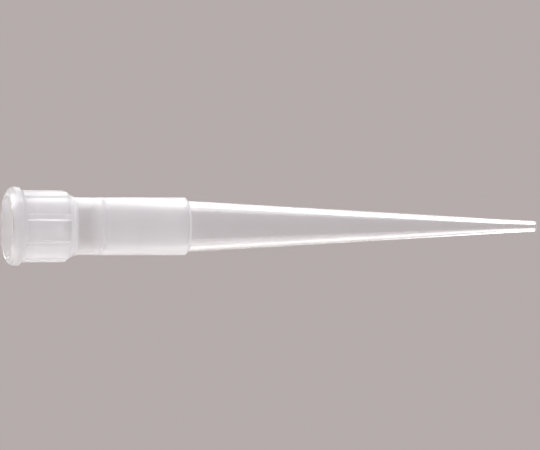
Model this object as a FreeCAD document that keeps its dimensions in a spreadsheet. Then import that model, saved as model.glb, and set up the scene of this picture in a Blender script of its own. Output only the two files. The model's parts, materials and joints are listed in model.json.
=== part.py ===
"""Pipette tip: one injection-moulded piece of natural polypropylene, in millimetres.

A rim bead, round at the lip and bevelled behind, and a ribbed collar surround the mouth. A plain barrel
follows, with the sealing land for the pipette's nose inside it, then a small outside step and a long thin
cone down to the orifice. The tip stands on its mouth with its point up: its axis is Z and the origin is
the middle of the mouth.
"""

import FreeCAD
import Part

import math
import os

import Sketcher

# Driving dimensions. A start, end or station is a distance along the axis from the plane of the mouth.
SIZES = {
    "overall_length": 50.75,
    # rim bead and mouth
    "mouth_bore": 5.64,
    "mouth_round": 0.12,
    "rim_overhang": 0.44,
    "rim_length": 1.05,
    "rim_round": 0.62,
    "rim_bevel": 0.4,
    "bevel_round": 0.08,
    # ribbed collar
    "collar_wall": 0.44,
    "rib_count": 8,
    "rib_height": 0.18,
    "rib_angle": 11.0,
    "rib_round": 0.15,
    # barrel, with the socket and the sealing land inside it
    "barrel_start": 6.85,
    "barrel_end": 16.93,
    "barrel_wall": 0.435,
    "shoulder_round": 1.8,
    "shoulder_wall": 0.25,
    "socket_depth": 8.9,
    "socket_wall": 0.3,
    "seal_bore": 4.56,
    "seal_lead": 0.3,
    "seal_length": 2.1,
    # cone
    "step_depth": 0.3,
    "step_length": 0.25,
    "step_round": 0.08,
    "cone_wall": 0.435,
    # point
    "point_length": 3.5,
    "point_bore": 0.68,
    "point_wall": 0.315,
    "orifice_bore": 0.44,
    "orifice_wall": 0.26,
    "orifice_round": 0.15,
}

# Radii and stations that follow from them.
MOUTH_RADIUS = "sizes.mouth_bore / 2"
COLLAR_RADIUS = f"({MOUTH_RADIUS} + sizes.collar_wall)"
CREST_RADIUS = f"({COLLAR_RADIUS} + sizes.rib_height)"
RIB_ROOT_RADIUS = f"({COLLAR_RADIUS} - sizes.collar_wall / 2)"
RIM_RADIUS = f"({COLLAR_RADIUS} + sizes.rim_overhang)"
BEVEL_END = "(sizes.rim_length + sizes.rim_bevel)"
SEAL_RADIUS = "sizes.seal_bore / 2"
SEAL_START = "(sizes.socket_depth + sizes.seal_lead)"
SEAL_END = f"({SEAL_START} + sizes.seal_length)"
BARREL_RADIUS = f"({SEAL_RADIUS} + sizes.barrel_wall)"
SHOULDER_CENTRE_RADIUS = f"({BARREL_RADIUS} + sizes.shoulder_round)"
SHOULDER_BORE_RADIUS = f"({BARREL_RADIUS} - sizes.shoulder_wall)"
SHOULDER_RISE = "(sizes.barrel_start - sizes.shoulder_round)"
SOCKET_RADIUS = f"({BARREL_RADIUS} - sizes.socket_wall)"
CONE_START = "(sizes.barrel_end + sizes.step_length)"
CONE_RADIUS = f"({BARREL_RADIUS} - sizes.step_depth)"
CONE_BORE_RADIUS = f"({CONE_RADIUS} - sizes.cone_wall)"
POINT_START = "(sizes.overall_length - sizes.point_length)"
POINT_BORE_RADIUS = "sizes.point_bore / 2"
POINT_RADIUS = f"({POINT_BORE_RADIUS} + sizes.point_wall)"
ORIFICE_RADIUS = "sizes.orifice_bore / 2"
END_RADIUS = f"({ORIFICE_RADIUS} + sizes.orifice_wall)"

# The arc that hollows the outline between collar and barrel: radius and station of its centre, and its size.
SHOULDER = (SHOULDER_CENTRE_RADIUS, "sizes.barrel_start", "sizes.shoulder_round")

# In an outline, these stand for a radius or a station that the arc through the corner decides:
# nearer to the axis than the arc's centre, or before the centre.
INSIDE, BEFORE = "inside", "before"

# Each corner is a radius, a station and the arc that leaves it, or None for a straight edge.
WALL_OUTLINE = (
    (MOUTH_RADIUS, "0", None),
    (RIM_RADIUS, "0", None),
    (RIM_RADIUS, "sizes.rim_length", None),
    (COLLAR_RADIUS, BEVEL_END, None),
    (COLLAR_RADIUS, BEFORE, SHOULDER),
    (INSIDE, "sizes.barrel_start", None),
    (BARREL_RADIUS, "sizes.barrel_end", None),
    (CONE_RADIUS, CONE_START, None),
    (POINT_RADIUS, POINT_START, None),
    (END_RADIUS, "sizes.overall_length", None),
    (ORIFICE_RADIUS, "sizes.overall_length", None),
    (POINT_BORE_RADIUS, POINT_START, None),
    (CONE_BORE_RADIUS, CONE_START, None),
    (SEAL_RADIUS, SEAL_END, None),
    (SEAL_RADIUS, SEAL_START, None),
    (SOCKET_RADIUS, "sizes.socket_depth", None),
    (SHOULDER_BORE_RADIUS, "sizes.barrel_start", None),
)
RIB_OUTLINE = (
    (RIB_ROOT_RADIUS, "sizes.rim_length", None),
    (CREST_RADIUS, "sizes.rim_length", None),
    (CREST_RADIUS, BEFORE, SHOULDER),
    (COLLAR_RADIUS, BEFORE, None),
    (RIB_ROOT_RADIUS, SHOULDER_RISE, None),
)

FIRST, LAST, CENTRE = 1, 2, 3
SKETCH_ORIGIN = (-1, 1)
NEAR = 1e-4


def make_sheet(doc):
    """The driving dimensions, one row each, with the name as the value's alias."""
    sheet = doc.addObject("Spreadsheet::Sheet", "sizes")
    for row, (name, value) in enumerate(SIZES.items(), 1):
        sheet.set(f"A{row}", name)
        sheet.set(f"B{row}", str(value))
        sheet.setAlias(f"B{row}", name)
    doc.recompute()


def origin_feature(body, role):
    return next(feature for feature in body.Origin.OriginFeatures if feature.Role == role)


def value_of(owner, expression):
    return float(owner.evalExpression(expression))


def corner_place(sketch, radius, station, arc):
    """Where a corner stands: radius across the sketch, station up it."""
    if radius == INSIDE or station == BEFORE:
        centre_radius, centre_station, size = (value_of(sketch, text) for text in arc)
    if radius == INSIDE:
        station = value_of(sketch, station)
        radius = centre_radius - math.sqrt(size**2 - (station - centre_station) ** 2)
    elif station == BEFORE:
        radius = value_of(sketch, radius)
        station = centre_station - math.sqrt(size**2 - (radius - centre_radius) ** 2)
    else:
        radius, station = value_of(sketch, radius), value_of(sketch, station)
    return FreeCAD.Vector(radius, station, 0)


def bind(sketch, kind, elements, expression, name):
    """Adds a dimension to a sketch and ties it to an expression on the sheet."""
    index = sketch.addConstraint(Sketcher.Constraint(kind, *elements, value_of(sketch, expression)))
    sketch.renameConstraint(index, name)
    sketch.setExpression(f"Constraints.{name}", expression)


def add_edge(sketch, start, end, arc, name):
    """Draws one edge and returns its vertices at the start and at the end. An arc is drawn end to start."""
    if arc is None:
        edge = sketch.addGeometry(Part.LineSegment(start, end), False)
        return (edge, FIRST), (edge, LAST)
    centre_radius, centre_station, size = arc
    centre = FreeCAD.Vector(value_of(sketch, centre_radius), value_of(sketch, centre_station), 0)
    angles = [math.atan2(point.y - centre.y, point.x - centre.x) for point in (end, start)]
    circle = Part.Circle(centre, FreeCAD.Vector(0, 0, 1), value_of(sketch, size))
    edge = sketch.addGeometry(Part.ArcOfCircle(circle, *angles), False)
    bind(sketch, "DistanceX", (*SKETCH_ORIGIN, edge, CENTRE), centre_radius, f"{name}_centre_radius")
    bind(sketch, "DistanceY", (*SKETCH_ORIGIN, edge, CENTRE), centre_station, f"{name}_centre_station")
    bind(sketch, "Radius", (edge,), size, f"{name}_size")
    return (edge, LAST), (edge, FIRST)


def add_section(body, name, outline):
    """A closed half section beside the tip's axis, with every corner and arc tied to the sheet."""
    sketch = body.newObject("Sketcher::SketchObject", name)
    sketch.AttachmentSupport = [(origin_feature(body, "XZ_Plane"), "")]
    sketch.MapMode = "FlatFace"
    count = len(outline)
    places = []
    for i, (radius, station, arc) in enumerate(outline):
        places.append(corner_place(sketch, radius, station, arc or outline[i - 1][2]))
    edges = []
    for i, (_, _, arc) in enumerate(outline):
        edges.append(add_edge(sketch, places[i], places[(i + 1) % count], arc, f"arc_{i}"))
    for i, (radius, station, _) in enumerate(outline):
        sketch.addConstraint(Sketcher.Constraint("Coincident", *edges[i - 1][1], *edges[i][0]))
        if radius != INSIDE:
            bind(sketch, "DistanceX", (*SKETCH_ORIGIN, *edges[i][0]), radius, f"corner_{i}_radius")
        if station == "0":
            sketch.addConstraint(Sketcher.Constraint("PointOnObject", *edges[i][0], -1))
        elif station != BEFORE:
            bind(sketch, "DistanceY", (*SKETCH_ORIGIN, *edges[i][0]), station, f"corner_{i}_station")
    return sketch


def add_revolution(body, name, sketch, angle):
    """Turns a half section about the tip's axis, half of the angle to each side."""
    solid = body.newObject("PartDesign::Revolution", name)
    solid.Profile = sketch
    solid.ReferenceAxis = (sketch, ["V_Axis"])
    solid.Midplane = True
    solid.setExpression("Angle", angle)
    return solid


def add_ribs(body):
    """One rib along the collar, which dies out on the shoulder, and the rest of the ring of them."""
    section = add_section(body, "rib_section", RIB_OUTLINE)
    rib = add_revolution(body, "rib", section, "sizes.rib_angle")
    ribs = body.newObject("PartDesign::PolarPattern", "ribs")
    ribs.Originals = [rib]
    ribs.Axis = (origin_feature(body, "Z_Axis"), [""])
    ribs.Angle = 360
    ribs.setExpression("Occurrences", "sizes.rib_count")
    body.Tip = ribs


def is_ring(edge, radius, station):
    """Whether an edge is the full circle of this radius at this station."""
    circle = edge.Curve
    return (
        circle.TypeId == "Part::GeomCircle"
        and edge.isClosed()
        and abs(circle.Radius - radius) < NEAR
        and abs(circle.Center.z - station) < NEAR
    )


def is_crest_edge(edge, radius):
    """Whether an edge runs along the axis at this radius."""
    if edge.Curve.TypeId != "Part::GeomLine":
        return False
    along = edge.tangentAt(edge.FirstParameter)
    from_axis = math.hypot(edge.Vertexes[0].X, edge.Vertexes[0].Y)
    return abs(abs(along.z) - 1) < NEAR and abs(from_axis - radius) < NEAR


def round_edges(body, name, wanted, size, count):
    """Rounds the edges of the tip so far that a test picks, and checks how many there are."""
    body.Document.recompute()
    base = body.Tip
    picked = [f"Edge{i}" for i, edge in enumerate(base.Shape.Edges, 1) if wanted(edge)]
    if len(picked) != count:
        raise RuntimeError(f"{name}: {len(picked)} edges where {count} are expected")
    fillet = body.newObject("PartDesign::Fillet", name)
    fillet.Base = (base, picked)
    fillet.setExpression("Radius", size)


def make_tip(doc):
    """The whole moulding."""
    body = doc.addObject("PartDesign::Body", "pipette_tip")
    section = add_section(body, "wall_section", WALL_OUTLINE)
    add_revolution(body, "wall", section, "360")
    add_ribs(body)

    sheet = doc.getObject("sizes")
    crest = value_of(sheet, CREST_RADIUS)
    mouth = value_of(sheet, MOUTH_RADIUS)
    rim = value_of(sheet, RIM_RADIUS)
    step = value_of(sheet, BARREL_RADIUS)
    end = value_of(sheet, END_RADIUS)
    rib_edges = 2 * int(sheet.rib_count)
    round_edges(body, "rib_rounds", lambda e: is_crest_edge(e, crest), "sizes.rib_round", rib_edges)
    round_edges(body, "mouth_round", lambda e: is_ring(e, mouth, 0), "sizes.mouth_round", 1)
    round_edges(body, "rim_round", lambda e: is_ring(e, rim, 0), "sizes.rim_round", 1)
    round_edges(body, "bevel_round", lambda e: is_ring(e, rim, sheet.rim_length), "sizes.bevel_round", 1)
    round_edges(body, "step_round", lambda e: is_ring(e, step, sheet.barrel_end), "sizes.step_round", 1)
    round_edges(body, "end_round", lambda e: is_ring(e, end, sheet.overall_length), "sizes.orifice_round", 1)
    doc.recompute()
    return body


def check(doc, body):
    """Stops before anything is written if an object failed or the solid is not whole."""
    failed = [o.Name for o in doc.Objects if {"Invalid", "Error"} & set(o.State)]
    if failed:
        raise RuntimeError(f"failed objects: {failed}")
    if body.Shape.isNull() or not body.Shape.isValid() or len(body.Shape.Solids) != 1:
        raise RuntimeError(f"{body.Label} is not one valid solid")


def main():
    doc = FreeCAD.newDocument("pipette_tip")
    make_sheet(doc)
    tip = make_tip(doc)
    check(doc, tip)
    os.makedirs("parts", exist_ok=True)
    tip.Shape.exportStep(f"parts/{tip.Label}.step")


main()
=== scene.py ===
"""A pipette tip of natural polypropylene, standing on its mouth on a plain pale floor under soft light."""

import json
import math

import bpy
import numpy as np
from mathutils import Matrix, Quaternion, Vector


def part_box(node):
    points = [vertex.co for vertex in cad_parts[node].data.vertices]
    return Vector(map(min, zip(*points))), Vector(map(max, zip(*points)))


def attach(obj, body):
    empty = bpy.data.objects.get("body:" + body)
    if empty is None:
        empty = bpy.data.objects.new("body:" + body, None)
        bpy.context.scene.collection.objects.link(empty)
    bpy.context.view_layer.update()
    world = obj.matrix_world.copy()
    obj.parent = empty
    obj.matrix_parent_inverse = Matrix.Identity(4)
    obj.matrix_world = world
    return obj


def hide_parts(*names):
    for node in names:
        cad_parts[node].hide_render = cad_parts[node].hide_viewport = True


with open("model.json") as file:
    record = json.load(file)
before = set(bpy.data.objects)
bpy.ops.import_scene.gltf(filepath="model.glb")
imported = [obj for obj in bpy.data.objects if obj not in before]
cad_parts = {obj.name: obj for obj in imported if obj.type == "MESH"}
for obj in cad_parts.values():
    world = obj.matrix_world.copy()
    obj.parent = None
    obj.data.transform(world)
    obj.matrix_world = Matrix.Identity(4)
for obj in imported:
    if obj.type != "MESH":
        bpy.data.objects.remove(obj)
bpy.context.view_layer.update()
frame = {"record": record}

MM = 0.001

# Sizes of the moulding, in millimetres but for the ribs' count and angle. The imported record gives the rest.
MOUTH_RADIUS = 2.82
MOUTH_ROUND = 0.12
RIM_LENGTH = 1.05
RIM_ROUND = 0.62
RIM_BEVEL = 0.4
BEVEL_ROUND = 0.08
COLLAR_RADIUS = 3.26
RIB_COUNT = 8
RIB_HEIGHT = 0.18
RIB_HALF_ANGLE = math.radians(5.5)
RIB_ROUND = 0.15
RIB_FLANK = 0.1
BARREL_START = 6.85
BARREL_END = 16.93
SHOULDER_ROUND = 1.8
SHOULDER_WALL = 0.25
SOCKET_DEPTH = 8.9
SOCKET_WALL = 0.3
STEP_DEPTH = 0.3
STEP_LENGTH = 0.25
STEP_ROUND = 0.08
CONE_WALL = 0.435
POINT_LENGTH = 3.5
POINT_BORE_RADIUS = 0.34
POINT_RADIUS = 0.655
ORIFICE_RADIUS = 0.22
END_RADIUS = 0.48
END_ROUND = 0.15
MOULD_ROUND = 0.03
SEAL_ROUND = 0.5

# How finely the surface is drawn: points on an arc and beside a rib, and lengths in millimetres. An edge over
# LONG_EDGE gets two points near each end, no further in than NEAR_END or than that share of the edge. Points
# closer than SAME_POINT are one, and TINY guards a division.
TINY = 1e-9
SAME_POINT = 1e-4
LIP_POINTS = 18
SHOULDER_POINTS = 22
CORNER_POINTS = 5
CORNER_ROOM = 0.45
LONG_EDGE = 0.2
NEAR_END = (0.02, 0.1)
NEAR_END_SHARE = (0.1, 0.3)
RING_STEP = 0.8
POINTS_BESIDE_RIB = 6
RIB_SIDE_POINTS = (-0.12, -0.06, -0.03, -0.015, 0.0, 0.006, 0.022, 0.048, 0.08, 0.115, 0.15)

# The camera: how far round the axis and below level it stands, its roll and lens, the width that it sees at
# the tip, and the point that it aims at, by its height on the tip and how far above the axis it is in view.
VIEW_TURN = math.radians(-75.1)
VIEW_DROP = math.radians(11.8)
VIEW_ROLL = math.radians(0.017)
VIEW_LENS = 800.0
SENSOR_WIDTH = 36.0
VIEW_WIDTH = 50.7 * MM
VIEW_HEIGHT_ON_TIP = 25.12 * MM
VIEW_RISE = 0.12 * MM

# Each panel of light: its name, its first and last turn in degrees, its radiance, its colour, and whether it
# is seen in gloss and through clear plastic. Distances are in metres.
PANELS = (
    ("main_panel", 77, 151, 3.0, (1.0, 1.0, 1.0), True),
    ("low_panel", -77, -145, 0.9, (1.0, 0.955, 0.91), True),
    ("low_wash", -145, -157, 0.55, (1.0, 0.97, 0.94), True),
    ("top_wash", 151, 160, 0.6, (1.0, 1.0, 1.0), True),
    ("low_glow", -80, -122, 3.2, (1.0, 0.97, 0.94), False),
)
PANEL_DISTANCE = 1.2
PANEL_HEIGHT = 1.6
PANEL_FOOT = 0.002

BACKDROP = (0.462, 0.413, 0.407, 1.0)
FILL = (0.9, 0.92, 1.0, 1.0)
FILL_STRENGTH = 0.8
FLOOR = (0.65, 0.62, 0.61, 1.0)
FLOOR_REACH = 0.6
FLOOR_GAP = 0.02 * MM

CLEAR = (0.97, 0.972, 0.985, 1.0)
REFRACTION = 1.49

# The milk scatters most light on through the wall and a share back off it. How milky the surface is follows
# the wall's thickness, times a factor that follows the height, and times one more on the inside.
MILK = (0.97, 0.967, 0.985, 1.0)
SCATTERED_OFF = 0.25
MILK_BY_WALL = ((0.25, 0.13), (0.46, 0.44))
MILK_BY_HEIGHT = (
    (RIM_LENGTH + 0.15, 0.68),
    (RIM_LENGTH + 0.75, 1.0),
    (BARREL_START - 0.65, 1.0),
    (BARREL_START + 0.55, 0.9),
    (SOCKET_DEPTH, 0.9),
    (SOCKET_DEPTH + 0.3, 1.0),
    (SOCKET_DEPTH + 2.4, 1.0),
    (SOCKET_DEPTH + 2.9, 0.85),
    (BARREL_END - 0.1, 0.85),
    (BARREL_END + 0.4, 0.5),
)
MILK_INSIDE_BY_HEIGHT = ((RIM_LENGTH + 0.75, 1.0), (RIM_LENGTH + 1.55, 0.3))

# The surface is frosted up to the step and glossy beyond it, with a smoother rim.
ROUGHNESS_BY_HEIGHT = (
    (RIM_LENGTH + 0.15, 0.11),
    (RIM_LENGTH + 0.75, 0.25),
    (BARREL_END - 0.1, 0.25),
    (BARREL_END + 0.4, 0.05),
)


def unit(vectors):
    """Each vector divided by its length."""
    return vectors / np.maximum(np.linalg.norm(vectors, axis=-1, keepdims=True), TINY)


def arc(centre, size, start, end, count):
    """Points at equal angles on a circle: centre plus size times the cosine and sine of the angle."""
    angles = np.linspace(start, end, count)
    return np.stack([centre[0] + size * np.cos(angles), centre[1] + size * np.sin(angles)], axis=1)


def rounded_section(corners, rounds):
    """A closed outline with every corner rounded.

    At a corner the round's centre lies on the bisector of the two edges, at the round's size over the sine of
    half the angle between them. A round that is too big for its edges is made to fit. The arc's points turn
    evenly from one edge's normal to the other's. Each long edge gets points close to its two ends, so that
    its shading stays flat.
    """
    to_last = unit(np.roll(corners, 1, axis=0) - corners)
    to_next = unit(np.roll(corners, -1, axis=0) - corners)
    half = np.arccos(np.clip((to_last * to_next).sum(axis=1), -1, 1)) / 2
    edge = np.linalg.norm(np.roll(corners, -1, axis=0) - corners, axis=1)
    room = CORNER_ROOM * np.minimum(edge, np.roll(edge, 1))
    reach = np.minimum(rounds / np.tan(np.maximum(half, TINY)), room)[:, None]
    size = reach * np.tan(half)[:, None]
    centre = corners + unit(to_last + to_next) * size / np.sin(half)[:, None]
    first, last = corners + to_last * reach, corners + to_next * reach
    turn = (math.pi - 2 * half)[:, None, None]
    part = np.linspace(0, 1, CORNER_POINTS)[None, :, None]
    from_first = np.sin((1 - part) * turn) * unit(first - centre)[:, None]
    from_last = np.sin(part * turn) * unit(last - centre)[:, None]
    arcs = centre[:, None] + size[:, None] * (from_first + from_last) / np.maximum(np.sin(turn), TINY)
    arcs = np.where(reach[:, None] > TINY, arcs, corners[:, None])
    start, end = arcs[:, -1], np.roll(arcs[:, 0], -1, axis=0)
    run = np.linalg.norm(end - start, axis=1)[:, None]
    near = np.minimum([NEAR_END], run * [NEAR_END_SHARE])
    along = np.concatenate([near, run - near[:, ::-1]], axis=1)[:, :, None]
    supports = start[:, None] + unit(end - start)[:, None] * along
    supports = np.where(edge[:, None, None] > LONG_EDGE, supports, start[:, None])
    points = np.concatenate([arcs, supports], axis=1).reshape(-1, 2)
    apart = np.linalg.norm(points - np.roll(points, 1, axis=0), axis=1)
    return points[apart > SAME_POINT]


def divided(points, step):
    """A closed outline with each edge cut into the fewest equal parts that are no longer than the step."""
    along = np.roll(points, -1, axis=0) - points
    parts = np.ceil(np.linalg.norm(along, axis=1) / step).astype(int)
    edge = np.repeat(np.arange(len(points)), parts)
    part = np.arange(parts.sum()) - np.repeat(np.cumsum(parts) - parts, parts)
    return points[edge] + along[edge] * (part / parts[edge])[:, None]


def tip_section(rim_radius, seal_radius, seal_start, seal_length, barrel_radius, length):
    """The wall's closed section, as radius and height: out over the rim, up the outside, down the bore.

    The lip and the shoulder are arcs, and the other corners are rounded. The bevel behind the rim has a point
    where it meets a rib's crest.
    """
    lip = arc((rim_radius - RIM_ROUND, RIM_ROUND), RIM_ROUND, -math.pi / 2, 0, LIP_POINTS)
    crest = COLLAR_RADIUS + RIB_HEIGHT
    crest_meets = RIM_LENGTH + RIM_BEVEL * (rim_radius - crest) / (rim_radius - COLLAR_RADIUS)
    shoulder = (barrel_radius + SHOULDER_ROUND, BARREL_START)
    shoulder_start = math.pi + math.acos((shoulder[0] - COLLAR_RADIUS) / SHOULDER_ROUND)
    hollow = arc(shoulder, SHOULDER_ROUND, shoulder_start, math.pi, SHOULDER_POINTS)
    cone = barrel_radius - STEP_DEPTH
    cone_start = BARREL_END + STEP_LENGTH
    point_start = length - POINT_LENGTH
    behind = [
        (rim_radius, RIM_LENGTH, BEVEL_ROUND),
        (crest, crest_meets, 0.0),
        (COLLAR_RADIUS, RIM_LENGTH + RIM_BEVEL, MOULD_ROUND),
    ]
    above = [
        (barrel_radius, BARREL_END, STEP_ROUND),
        (cone, cone_start, MOULD_ROUND),
        (POINT_RADIUS, point_start, MOULD_ROUND),
        (END_RADIUS, length, END_ROUND),
        (ORIFICE_RADIUS, length, MOULD_ROUND),
        (POINT_BORE_RADIUS, point_start, MOULD_ROUND),
        (cone - CONE_WALL, cone_start, MOULD_ROUND),
        (seal_radius, seal_start + seal_length, MOULD_ROUND),
        (seal_radius, seal_start, SEAL_ROUND),
        (barrel_radius - SOCKET_WALL, SOCKET_DEPTH, SEAL_ROUND),
        (barrel_radius - SHOULDER_WALL, BARREL_START, MOULD_ROUND),
        (MOUTH_RADIUS, 0.0, MOUTH_ROUND),
    ]
    lip, hollow = (np.column_stack([curve, np.zeros(len(curve))]) for curve in (lip, hollow))
    hollow[0, 2] = MOULD_ROUND  # the collar's edge, where the shoulder begins
    outline = np.concatenate([lip, behind, hollow, above])
    return divided(rounded_section(outline[:, :2], outline[:, 2]), RING_STEP)


def rib_angles():
    """Angles round the axis, close together at each rib's sides, and how much of a rib's height is there.

    A rib's side rises in a straight line to its round, then follows a quarter circle to the crest.
    """
    crest = COLLAR_RADIUS + RIB_HEIGHT
    side = np.array(RIB_SIDE_POINTS) / crest - RIB_HALF_ANGLE
    beside = np.linspace(-math.pi / RIB_COUNT, side[0], POINTS_BESIDE_RIB, endpoint=False)
    rising = np.concatenate([beside, side])
    sector = np.concatenate([rising, [0.0], -rising[:0:-1]])
    turns = np.arange(RIB_COUNT) * 2 * math.pi / RIB_COUNT
    from_side = (RIB_HALF_ANGLE - np.abs(sector)) * crest
    foot = RIB_HEIGHT - RIB_ROUND
    flank = foot * np.clip(1 + from_side / RIB_FLANK, 0, 1)
    inward = np.clip(from_side, 0, RIB_ROUND)
    top = np.sqrt(RIB_ROUND**2 - (RIB_ROUND - inward) ** 2)
    share = (flank + np.where(from_side > 0, top, 0)) / RIB_HEIGHT
    return (turns[:, None] + sector[None, :]).ravel(), np.tile(share, RIB_COUNT)


def rib_gain(section, outside, barrel_radius):
    """How far a rib stands out from the wall at each point of the section.

    A rib's top is its crest or, on the shoulder, the shoulder's circle where that is lower.
    """
    radius, height = section.T
    crest = COLLAR_RADIUS + RIB_HEIGHT
    down = np.clip(BARREL_START - height, 0, SHOULDER_ROUND)
    hollow = barrel_radius + SHOULDER_ROUND - np.sqrt(SHOULDER_ROUND**2 - down**2)
    top = np.where(height > BARREL_START - SHOULDER_ROUND, np.minimum(crest, hollow), crest)
    on_collar = outside & (height > RIM_LENGTH) & (height < BARREL_START)
    return np.where(on_collar, np.maximum(top - radius, 0), 0)


def wall_at(section, outside):
    """The wall's thickness at each point: the outer radius less the inner one at the same height."""
    height = section[:, 1]
    sides = []
    for side in (section[outside], section[~outside]):
        side = side[np.argsort(side[:, 1])]
        sides.append(np.interp(height, side[:, 1], side[:, 0]))
    return sides[0] - sides[1]


def between(pairs, at):
    """The value at each place, on straight lines from pair to pair."""
    places, values = np.array(pairs).T
    return np.interp(at, places, values)


def milk_at(section, outside):
    """How milky the surface is at each point: the wall's share times the height's factor, and less inside."""
    height = section[:, 1]
    share = between(MILK_BY_WALL, wall_at(section, outside)) * between(MILK_BY_HEIGHT, height)
    return share * np.where(outside, 1.0, between(MILK_INSIDE_BY_HEIGHT, height))


def ring_mesh(name, rings, finishes):
    """A closed grid of quads that joins up both ways, with each finish's value kept at every point."""
    along, around = rings.shape[:2]
    index = np.arange(along * around).reshape(along, around)
    up, beside = np.roll(index, -1, axis=0), np.roll(index, -1, axis=1)
    corner = np.roll(up, -1, axis=1)
    quads = np.stack([index, beside, corner, up], axis=-1).reshape(-1, 4)
    mesh = bpy.data.meshes.new(name)
    mesh.from_pydata(rings.reshape(-1, 3), [], quads)
    mesh.polygons.foreach_set("use_smooth", np.ones(len(quads), dtype=bool))
    for finish, values in finishes.items():
        attribute = mesh.attributes.new(finish, "FLOAT", "POINT")
        attribute.data.foreach_set("value", np.repeat(values, around).astype(np.float32))
    mesh.update()
    piece = bpy.data.objects.new(name, mesh)
    bpy.context.scene.collection.objects.link(piece)
    return piece


def make_moulding():
    """The section turned about the axis, with the ribs added to the radius where they stand.

    The section runs up the outside first, so its points are outside as far as its highest one.
    """
    mounts = {mount["name"]: mount for mount in frame["record"]["mounts"]}
    seal, barrel = mounts["pipette_socket"], mounts["rack_barrel"]
    seal_radius, seal_length = seal["dims"]["r_mm"], seal["dims"]["length_mm"]
    seal_start = seal["pos_m"][2] / MM - seal_length / 2
    barrel_radius = barrel["dims"]["r_mm"]
    low, high = (np.array(corner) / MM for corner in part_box("pipette_tip"))
    length = high[2]
    rim_radius = np.abs([low[:2], high[:2]]).min()
    section = tip_section(rim_radius, seal_radius, seal_start, seal_length, barrel_radius, length)
    outside = np.arange(len(section)) <= np.argmax(section[:, 1])
    angles, share = rib_angles()
    radius = section[:, 0, None] + rib_gain(section, outside, barrel_radius)[:, None] * share[None, :]
    height = np.broadcast_to(section[:, 1, None], radius.shape)
    rings = np.stack([radius * np.cos(angles), radius * np.sin(angles), height], axis=-1) * MM
    finishes = {"milk": milk_at(section, outside), "frost": between(ROUGHNESS_BY_HEIGHT, section[:, 1])}
    return ring_mesh("moulded_tip", rings, finishes)


def coloured(tree, kind, colour):
    """A new shader of one colour."""
    node = tree.nodes.new("ShaderNode" + kind)
    node.inputs["Color"].default_value = colour
    return node


def mix_of(tree, first, second):
    """A mix that shows the first shader at a share of zero and the second at one."""
    mix = tree.nodes.new("ShaderNodeMixShader")
    tree.links.new(first.outputs[0], mix.inputs[1])
    tree.links.new(second.outputs[0], mix.inputs[2])
    return mix


def either(tree, first, second):
    """The larger of two values."""
    larger = tree.nodes.new("ShaderNodeMath")
    larger.operation = "MAXIMUM"
    tree.links.new(first, larger.inputs[0])
    tree.links.new(second, larger.inputs[1])
    return larger.outputs[0]


def kept_value(tree, name):
    """A value kept on the mesh under this name."""
    value = tree.nodes.new("ShaderNodeAttribute")
    value.attribute_name = name
    return value.outputs["Fac"]


def polypropylene():
    """Clear plastic with a milky share. The roughness and that share follow values kept on the mesh."""
    material = bpy.data.materials.new("natural_polypropylene")
    material.use_nodes = True
    tree = material.node_tree
    clear = tree.nodes["Principled BSDF"]
    clear.inputs["Base Color"].default_value = CLEAR
    clear.inputs["Transmission Weight"].default_value = 1.0
    clear.inputs["IOR"].default_value = REFRACTION
    tree.links.new(kept_value(tree, "frost"), clear.inputs["Roughness"])
    milk = mix_of(tree, coloured(tree, "BsdfTranslucent", MILK), coloured(tree, "BsdfDiffuse", MILK))
    milk.inputs[0].default_value = SCATTERED_OFF
    plastic = mix_of(tree, clear, milk)
    tree.links.new(kept_value(tree, "milk"), plastic.inputs[0])
    tree.links.new(plastic.outputs[0], tree.nodes["Material Output"].inputs["Surface"])
    return material


def pale_floor():
    """A wide flat sheet just under the rim.

    It is matt, with its plain colour in gloss and through clear plastic. From beneath nothing of it is seen.
    """
    square = np.array([(-1, -1), (1, -1), (1, 1), (-1, 1)]) * FLOOR_REACH
    corners = np.column_stack([square, np.full(len(square), -FLOOR_GAP)])
    mesh = bpy.data.meshes.new("floor")
    mesh.from_pydata(corners, [], [range(len(corners))])
    floor = bpy.data.objects.new("floor", mesh)
    bpy.context.scene.collection.objects.link(floor)
    material = bpy.data.materials.new("pale_floor")
    material.use_nodes = True
    tree = material.node_tree
    tree.nodes.clear()
    path = tree.nodes.new("ShaderNodeLightPath")
    top = mix_of(tree, coloured(tree, "BsdfDiffuse", FLOOR), coloured(tree, "Emission", FLOOR))
    in_plastic = either(tree, path.outputs["Is Glossy Ray"], path.outputs["Is Transmission Ray"])
    tree.links.new(in_plastic, top.inputs[0])
    sheet = mix_of(tree, top, tree.nodes.new("ShaderNodeBsdfTransparent"))
    side = tree.nodes.new("ShaderNodeNewGeometry")
    tree.links.new(side.outputs["Backfacing"], sheet.inputs[0])
    out = tree.nodes.new("ShaderNodeOutputMaterial")
    tree.links.new(sheet.outputs[0], out.inputs["Surface"])
    mesh.materials.append(material)


def studio_world():
    """The backdrop's colour wherever it is seen, and a soft white fill for the rest."""
    world = bpy.data.worlds.new("studio")
    bpy.context.scene.world = world
    world.use_nodes = True
    tree = world.node_tree
    tree.nodes.clear()
    path = tree.nodes.new("ShaderNodeLightPath")
    fill = coloured(tree, "Background", FILL)
    fill.inputs["Strength"].default_value = FILL_STRENGTH
    studio = mix_of(tree, fill, coloured(tree, "Background", BACKDROP))
    in_plastic = either(tree, path.outputs["Is Glossy Ray"], path.outputs["Is Transmission Ray"])
    tree.links.new(either(tree, path.outputs["Is Camera Ray"], in_plastic), studio.inputs[0])
    out = tree.nodes.new("ShaderNodeOutputWorld")
    tree.links.new(studio.outputs[0], out.inputs["Surface"])


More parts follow.
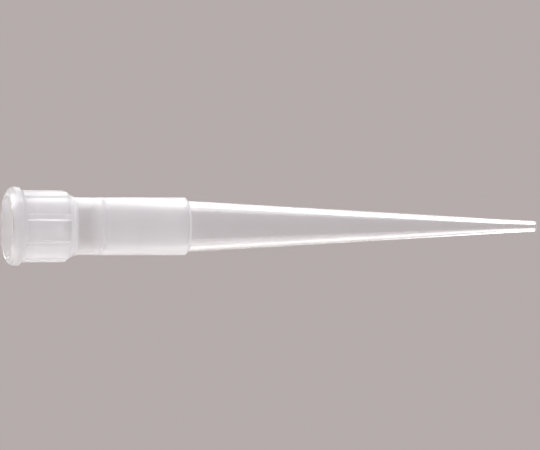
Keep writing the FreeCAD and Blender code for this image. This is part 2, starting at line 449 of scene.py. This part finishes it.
def view_axes():
    """Unit vectors from the tip towards the camera, to the right of the view and up it, with the roll added.

    The right of the view is the tip's axis, less its part along the line of sight.
    """
    level = Vector((math.cos(VIEW_TURN), math.sin(VIEW_TURN), 0))
    back = level * math.cos(VIEW_DROP) - Vector((0, 0, math.sin(VIEW_DROP)))
    right = (Vector((0, 0, 1)) + back * math.sin(VIEW_DROP)).normalized()
    right.rotate(Quaternion(back, VIEW_ROLL))
    return back, right, back.cross(right)


def soft_light(name, first_turn, last_turn, radiance, colour, seen):
    """A tall panel that faces the tip and spans two turns about the axis, in degrees from the camera's side.

    A turn is positive towards the top of the view. The lamp's power is the radiance times pi times the area.
    One that isn't seen lights matt and milky surfaces but doesn't show in gloss or through clear plastic.
    """
    turn = math.radians((first_turn + last_turn) / 2)
    width = 2 * PANEL_DISTANCE * math.tan(math.radians(abs(last_turn - first_turn) / 2))
    level = Vector((math.cos(VIEW_TURN - turn), math.sin(VIEW_TURN - turn), 0))
    lamp = bpy.data.lights.new(name, "AREA")
    lamp.shape = "RECTANGLE"
    lamp.size, lamp.size_y = width, PANEL_HEIGHT
    lamp.energy = radiance * math.pi * width * PANEL_HEIGHT
    lamp.color = colour
    light = bpy.data.objects.new(name, lamp)
    place = level * PANEL_DISTANCE + Vector((0, 0, PANEL_FOOT + PANEL_HEIGHT / 2))
    aside = Vector((0, 0, 1)).cross(level)
    turned = Matrix((aside, Vector((0, 0, 1)), level)).transposed().to_4x4()
    light.matrix_world = Matrix.Translation(place) @ turned
    light.visible_camera = False
    light.visible_glossy = seen
    light.visible_transmission = seen
    bpy.context.scene.collection.objects.link(light)


def add_camera():
    """A long lens beside the tip and a little below it, turned so that the tip runs across the view."""
    back, right, up = view_axes()
    lens = bpy.data.cameras.new("camera")
    lens.lens = VIEW_LENS
    lens.sensor_width = SENSOR_WIDTH
    distance = VIEW_WIDTH * VIEW_LENS / SENSOR_WIDTH
    camera = bpy.data.objects.new("camera", lens)
    turned = Matrix((right, up, back)).transposed().to_4x4()
    aim = Vector((0, 0, VIEW_HEIGHT_ON_TIP)) + up * VIEW_RISE
    camera.matrix_world = Matrix.Translation(aim + back * distance) @ turned
    bpy.context.scene.collection.objects.link(camera)
    bpy.context.scene.camera = camera


tip = make_moulding()
tip.data.materials.append(polypropylene())
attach(tip, "root")
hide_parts("pipette_tip")

pale_floor()
studio_world()
for panel in PANELS:
    soft_light(*panel)
add_camera()
bpy.context.scene.view_settings.view_transform = "Standard"
